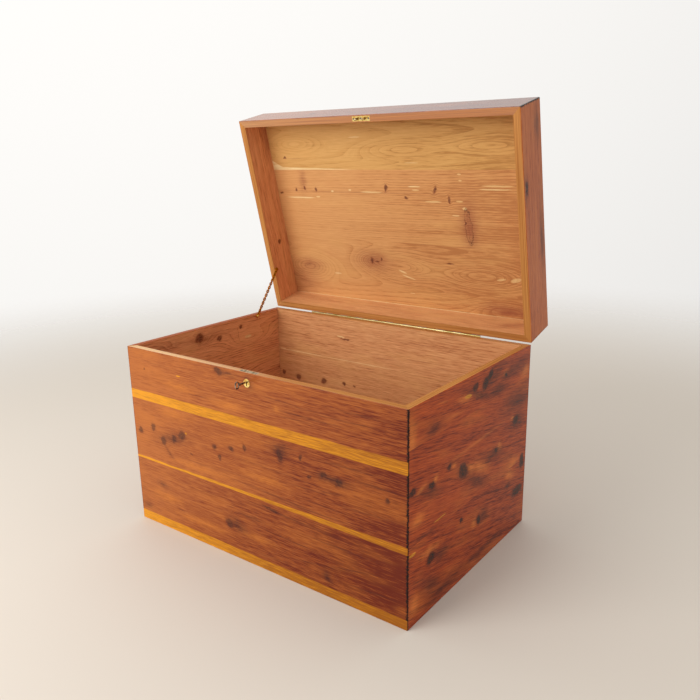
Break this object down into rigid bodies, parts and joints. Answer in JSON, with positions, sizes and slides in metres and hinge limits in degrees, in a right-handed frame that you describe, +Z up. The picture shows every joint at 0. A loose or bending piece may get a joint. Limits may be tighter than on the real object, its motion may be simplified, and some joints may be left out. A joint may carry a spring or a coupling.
{
  "type": "storage chest",
  "caption": "Rectangular cedar storage chest with a deep hinged lid held open by a chain, mitred corners, a continuous brass hinge, a keyed lock and a matching link plate in the lid.",
  "frame": {"origin": "middle of the chest's underside, on the floor", "axes": "+X to the right along the front, +Y to the back where the hinge is, +Z up; stored with the lid open against its chain"},
  "size_m": [0.9, 0.7537, 1.1283],
  "materials": {
    "cedar": "clear gloss varnish outside, bare wood inside",
    "brass": "satin, lightly tarnished",
    "steel": "darkened with handling"
  },
  "bodies": {
    "base": {"front_board_lower": "cedar", "front_board_middle": "cedar", "front_board_upper": "cedar", "right_board_lower": "cedar", "right_board_middle": "cedar", "right_board_upper": "cedar", "back_board_lower": "cedar", "back_board_middle": "cedar", "back_board_upper": "cedar", "left_board_lower": "cedar", "left_board_middle": "cedar", "left_board_upper": "cedar", "bottom_board_front": "cedar", "bottom_board_middle": "cedar", "bottom_board_rear": "cedar", "hinge_leaf_base": "brass", "hinge_pin": "steel", "hinge_screws_base": "brass", "lock_case": "brass", "lock_cap": "brass", "lock_screws": "brass", "escutcheon": "brass", "escutcheon_brads": "brass", "chain_screw_base": "brass"},
    "lid": {"lid_front_rail": "cedar", "lid_right_rail": "cedar", "lid_back_rail": "cedar", "lid_left_rail": "cedar", "lid_top_board_front": "cedar", "lid_top_board_middle": "cedar", "lid_top_board_rear": "cedar", "hinge_leaf_lid": "brass", "hinge_screws_lid": "brass", "link_plate": "brass", "link_staples": "steel", "link_screws": "brass", "chain_screw_lid": "brass"},
    "key": {"key": "steel"},
    "lock_bolt": {"lock_bolt": "steel"},
    "chain_lower": {"chain_lower": "brass"},
    "chain_upper": {"chain_upper": "brass"}
  },
  "joints": [
    {"name": "lid_hinge", "type": "hinge", "parent": "base", "child": "lid", "pos_m": [0, 0.305, 0.512], "axis": [1, 0, 0], "range_deg": [0, 76.9]},
    {"name": "key_turn", "type": "hinge", "parent": "base", "child": "key", "pos_m": [0, -0.302, 0.489], "axis": [0, 1, 0], "range_deg": [0, 35]},
    {"name": "bolt_slide", "type": "slide", "parent": "base", "child": "lock_bolt", "axis": [-1, 0, 0], "range_m": [0, 0.0046]},
    {"name": "chain_lower_swing", "type": "hinge", "parent": "base", "child": "chain_lower", "pos_m": [-0.424, 0.18, 0.5065], "axis": [1, 0, 0], "range_deg": [-144.2, 0]},
    {"name": "chain_upper_swing", "type": "hinge", "parent": "lid", "child": "chain_upper", "pos_m": [-0.424, 0.27976, 0.64473], "axis": [1, 0, 0], "range_deg": [-41.1, 0]}
  ],
  "couplings": [
    {"joint": "key_turn", "follows": "bolt_slide", "rad_per_m": 132.79},
    {"joint": "chain_lower_swing", "follows": "lid_hinge", "ratio": -1.875},
    {"joint": "chain_upper_swing", "follows": "lid_hinge", "ratio": -0.534}
  ]
}
